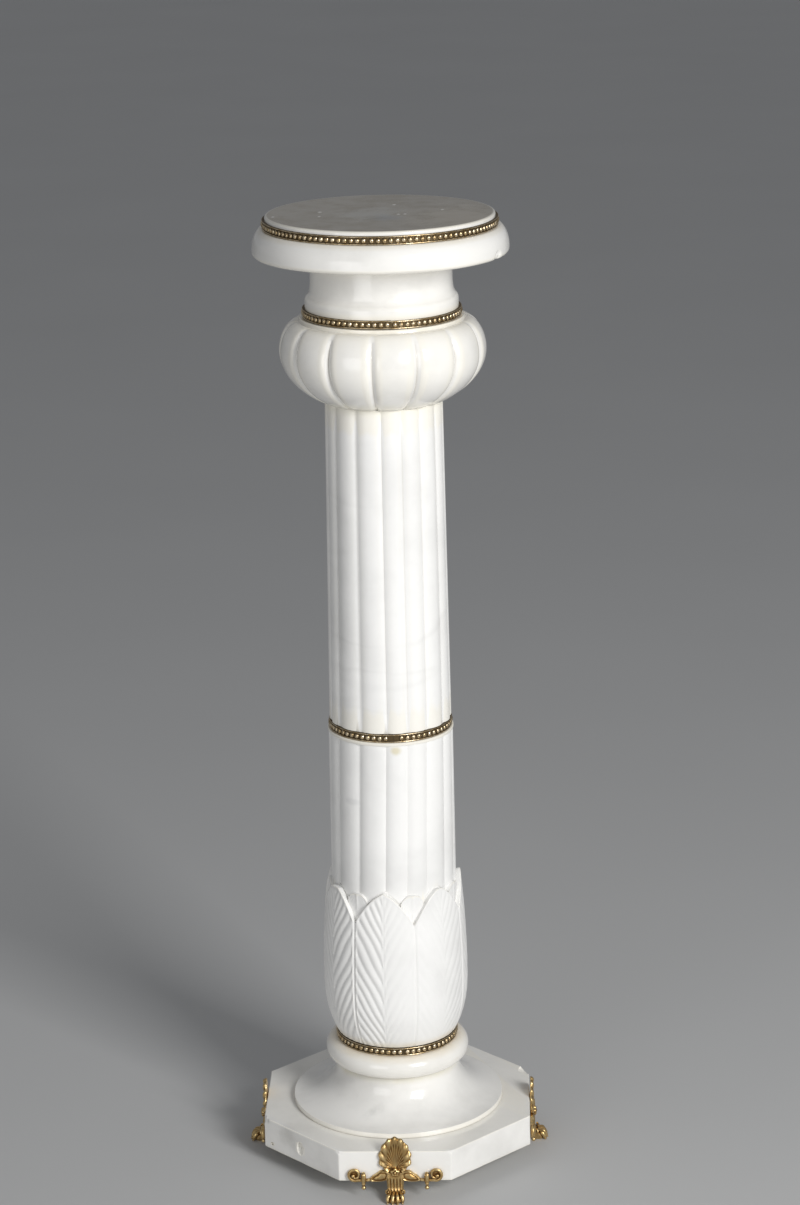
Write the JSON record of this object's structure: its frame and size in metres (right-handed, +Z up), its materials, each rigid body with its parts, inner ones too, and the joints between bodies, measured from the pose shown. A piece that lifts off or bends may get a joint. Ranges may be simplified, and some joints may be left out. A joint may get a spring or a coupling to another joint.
{
  "type": "marble column",
  "caption": "White marble pedestal column: round top slab, lobed capital, reeded shaft rising from a cup of carved leaves, turned base on an octagonal plinth, beaded gilt rings and paw feet.",
  "frame": {"origin": "on the floor under the axis of the column, level with the soles of the feet", "axes": "+Z up along the axis; -Y towards the front foot; the sides of the plinth that carry the feet face -Y, +X, +Y and -X"},
  "size_m": [0.343, 0.343, 1.071],
  "materials": {
    "polished_marble": "white marble, polished, with faint grey clouds and ivory staining at the joints",
    "honed_marble": "the same white marble rubbed smooth but left satin over the carving",
    "aged_gilt_brass": "old gilt brass strip, dark brown in the hollows and worn bright on the beads",
    "gilt_bronze": "cast and gilt bronze, antique gold with brown in the hollows"
  },
  "bodies": {
    "root": {"top_slab": "polished_marble", "neck": "polished_marble", "lobed_capital": "polished_marble", "upper_shaft": "honed_marble", "lower_shaft": "honed_marble", "turned_base": "polished_marble", "plinth": "polished_marble", "bead_ring_top": "aged_gilt_brass", "bead_ring_neck": "aged_gilt_brass", "bead_ring_shaft": "aged_gilt_brass", "bead_ring_base": "aged_gilt_brass", "foot_front": "gilt_bronze", "foot_right": "gilt_bronze", "foot_back": "gilt_bronze", "foot_left": "gilt_bronze"}
  },
  "joints": []
}
